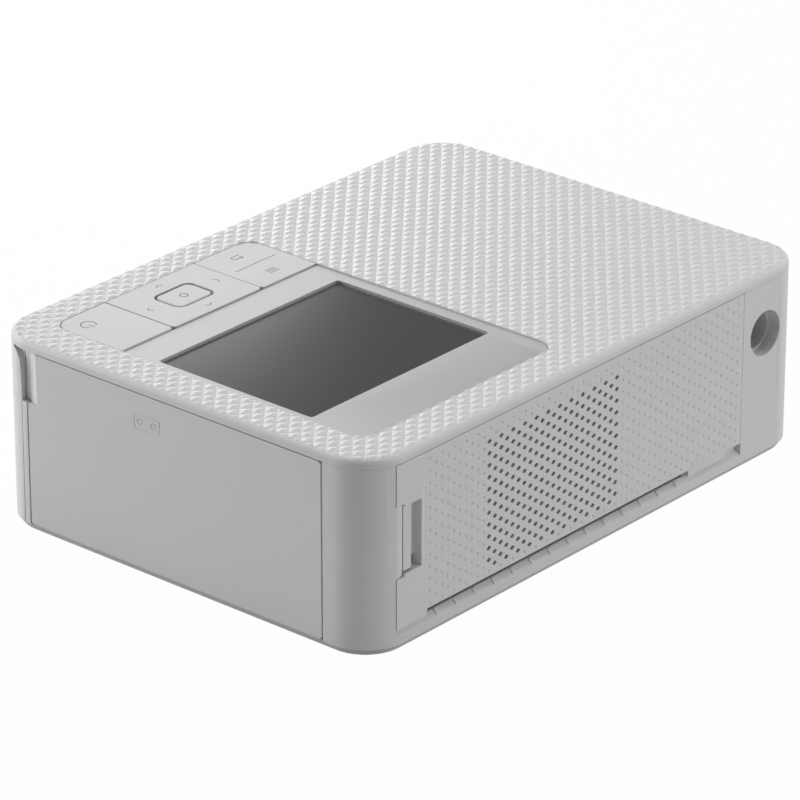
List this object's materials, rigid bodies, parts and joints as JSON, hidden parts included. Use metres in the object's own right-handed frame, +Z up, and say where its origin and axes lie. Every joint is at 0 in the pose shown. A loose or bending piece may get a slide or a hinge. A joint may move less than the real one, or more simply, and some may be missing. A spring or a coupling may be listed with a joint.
{
  "type": "compact photo printer",
  "caption": "Compact photo printer with a tilting screen-side keypad, a side door over a ribbon cassette, a front paper door and a slotted vent panel at the back.",
  "frame": {"origin": "on the surface that the feet stand on, under the middle of the casing's outline", "axes": "+X towards the ink door's side, -Y towards the front with the paper door, +Y towards the back with the vent panel, +Z up"},
  "size_m": [0.1822, 0.133, 0.0576],
  "materials": {
    "white_plastic": "fine matt moulding",
    "pattern_plastic": "white moulding with a lattice of small diamond points",
    "tray_plastic": "matt moulding, a little darker",
    "key_plastic": "smooth satin moulding",
    "bezel_plastic": "smooth satin moulding",
    "screen_glass": "dark clear cover, glossy",
    "module_plastic": "dark module in a metal frame",
    "dark_plastic": "dark moulding",
    "liner_plastic": "grey moulding",
    "foot_rubber": "matt rubber",
    "roller_rubber": "ground rubber",
    "screw_steel": "zinc plated",
    "bright_steel": "polished steel",
    "sheet_steel": "zinc coated sheet",
    "motor_steel": "drawn steel can",
    "contact_brass": "plain brass",
    "board_green": "green circuit board",
    "cable_plastic": "flat flexible cable",
    "gear_plastic": "natural acetal",
    "head_aluminium": "extruded, plain",
    "cassette_plastic": "grey moulding",
    "ribbon_film": "thin film wound on plastic cores"
  },
  "bodies": {
    "casing": {"base_tray": "tray_plastic", "rubber_feet": "foot_rubber", "casing_screws": "screw_steel", "main_casing": "white_plastic", "top_cover": "white_plastic", "patterned_plate": "pattern_plastic", "display_bezel": "bezel_plastic", "display_glass": "screen_glass", "display_module": "module_plastic", "rocker_pin": "bright_steel", "pivot_posts": "dark_plastic", "key_board": "board_green", "key_switches": "bright_steel", "vent_panel": "white_plastic", "battery_contact": "white_plastic", "ink_door_pins": "bright_steel", "paper_door_pins": "bright_steel", "bay_liner": "liner_plastic", "inlet_jack": "dark_plastic", "inlet_pin": "contact_brass", "card_reader": "bright_steel", "usb_socket": "bright_steel", "socket_board": "board_green", "main_board": "board_green", "display_cable": "cable_plastic", "key_cable": "cable_plastic", "chassis_left": "sheet_steel", "chassis_right": "sheet_steel", "chassis_screws": "screw_steel", "chassis_stays": "bright_steel", "motor_bracket": "sheet_steel", "motors": "motor_steel", "idler_stud": "bright_steel", "paper_guides": "dark_plastic", "head_shaft": "bright_steel"},
    "ink_door": {"ink_door": "white_plastic"},
    "paper_door": {"paper_door": "white_plastic"},
    "power_key": {"power_key": "key_plastic"},
    "nav_gimbal": {"nav_gimbal": "bright_steel"},
    "nav_pad": {"nav_pad": "key_plastic"},
    "ok_key": {"ok_key": "key_plastic"},
    "back_menu_key": {"back_menu_key": "key_plastic"},
    "platen": {"platen_roller": "roller_rubber", "platen_shaft": "bright_steel"},
    "capstan": {"capstan": "bright_steel", "capstan_gear": "gear_plastic"},
    "feed_pinion": {"feed_pinion": "contact_brass"},
    "pinch_roller": {"pinch_roller": "bright_steel"},
    "pick_roller": {"pick_tyre": "roller_rubber", "pick_shaft": "gear_plastic"},
    "pick_idler": {"pick_idler": "gear_plastic"},
    "print_head": {"print_head": "head_aluminium", "heat_sink": "head_aluminium", "head_arms": "sheet_steel"},
    "ink_cassette": {"ink_cassette": "cassette_plastic", "ink_ribbon": "ribbon_film"},
    "supply_spool": {"supply_spool": "ribbon_film"},
    "take_up_spool": {"take_up_spool": "ribbon_film"},
    "take_up_drive": {"take_up_drive": "gear_plastic"},
    "ribbon_drive": {"ribbon_drive": "contact_brass"}
  },
  "joints": [
    {"name": "ink_door_hinge", "type": "hinge", "parent": "casing", "child": "ink_door", "pos_m": [0.0891, 0.045, 0.029], "axis": [0, 0, 1], "range_deg": [0, 100]},
    {"name": "paper_door_hinge", "type": "hinge", "parent": "casing", "child": "paper_door", "pos_m": [0.0146, -0.0645, 0.011], "axis": [1, 0, 0], "range_deg": [0, 90]},
    {"name": "power_key_press", "type": "slide", "parent": "casing", "child": "power_key", "axis": [0, 0, -1], "range_m": [0, 0.0004], "stiffness_N_per_m": 4000},
    {"name": "nav_tilt_front_back", "type": "hinge", "parent": "casing", "child": "nav_gimbal", "pos_m": [0.04152, -0.04292, 0.0542], "axis": [1, 0, 0], "range_deg": [-1.5, 1.5], "stiffness_Nm_per_rad": 0.8},
    {"name": "nav_tilt_left_right", "type": "hinge", "parent": "nav_gimbal", "child": "nav_pad", "pos_m": [0.04152, -0.04292, 0.0542], "axis": [0, 1, 0], "range_deg": [-1.5, 1.5], "stiffness_Nm_per_rad": 0.8},
    {"name": "ok_key_press", "type": "slide", "parent": "nav_pad", "child": "ok_key", "axis": [0, 0, -1], "range_m": [0, 0.0004], "stiffness_N_per_m": 4000},
    {"name": "back_menu_rock", "type": "hinge", "parent": "casing", "child": "back_menu_key", "pos_m": [0.01307, -0.04292, 0.0542], "axis": [1, 0, 0], "range_deg": [-1.5, 1.5], "stiffness_Nm_per_rad": 0.6},
    {"name": "platen_turn", "type": "hinge", "parent": "casing", "child": "platen", "pos_m": [0.0146, 0.02, 0.0104], "axis": [1, 0, 0], "continuous": true},
    {"name": "capstan_turn", "type": "hinge", "parent": "casing", "child": "capstan", "pos_m": [0.0146, 0.038, 0.0097], "axis": [1, 0, 0], "continuous": true},
    {"name": "feed_pinion_turn", "type": "hinge", "parent": "casing", "child": "feed_pinion", "pos_m": [0.0146, 0.042, 0.01663], "axis": [1, 0, 0], "continuous": true},
    {"name": "pinch_turn", "type": "hinge", "parent": "casing", "child": "pinch_roller", "pos_m": [0.0146, 0.038, 0.0148], "axis": [1, 0, 0], "continuous": true},
    {"name": "pick_roller_turn", "type": "hinge", "parent": "casing", "child": "pick_roller", "pos_m": [0.0146, -0.022, 0.021], "axis": [1, 0, 0], "continuous": true},
    {"name": "pick_idler_turn", "type": "hinge", "parent": "casing", "child": "pick_idler", "pos_m": [0.0146, -0.0135, 0.02874], "axis": [1, 0, 0], "continuous": true},
    {"name": "take_up_drive_turn", "type": "hinge", "parent": "casing", "child": "take_up_drive", "pos_m": [0.0146, -0.002, 0.029], "axis": [1, 0, 0], "continuous": true},
    {"name": "ribbon_pinion_turn", "type": "hinge", "parent": "casing", "child": "ribbon_drive", "pos_m": [0.0146, 0.00604, 0.02225], "axis": [1, 0, 0], "continuous": true},
    {"name": "head_lift", "type": "hinge", "parent": "casing", "child": "print_head", "pos_m": [0.0146, 0.056, 0.041], "axis": [1, 0, 0], "range_deg": [-8, 0]},
    {"name": "cassette_slide", "type": "slide", "parent": "casing", "child": "ink_cassette", "axis": [1, 0, 0], "range_m": [0, 0.004]},
    {"name": "supply_spool_turn", "type": "hinge", "parent": "ink_cassette", "child": "supply_spool", "pos_m": [0.0146, 0.042, 0.029], "axis": [1, 0, 0], "continuous": true},
    {"name": "take_up_spool_turn", "type": "hinge", "parent": "ink_cassette", "child": "take_up_spool", "pos_m": [0.0146, -0.002, 0.029], "axis": [1, 0, 0], "continuous": true}
  ],
  "couplings": [
    {"joint": "feed_pinion_turn", "follows": "capstan_turn", "ratio": -1.6667},
    {"joint": "ribbon_pinion_turn", "follows": "take_up_drive_turn", "ratio": -2.5},
    {"joint": "pick_idler_turn", "follows": "take_up_drive_turn", "ratio": -1.875},
    {"joint": "pick_roller_turn", "follows": "take_up_drive_turn", "ratio": 1},
    {"joint": "take_up_spool_turn", "follows": "take_up_drive_turn", "ratio": 1},
    {"joint": "supply_spool_turn", "follows": "take_up_drive_turn", "ratio": 0.64286}
  ]
}
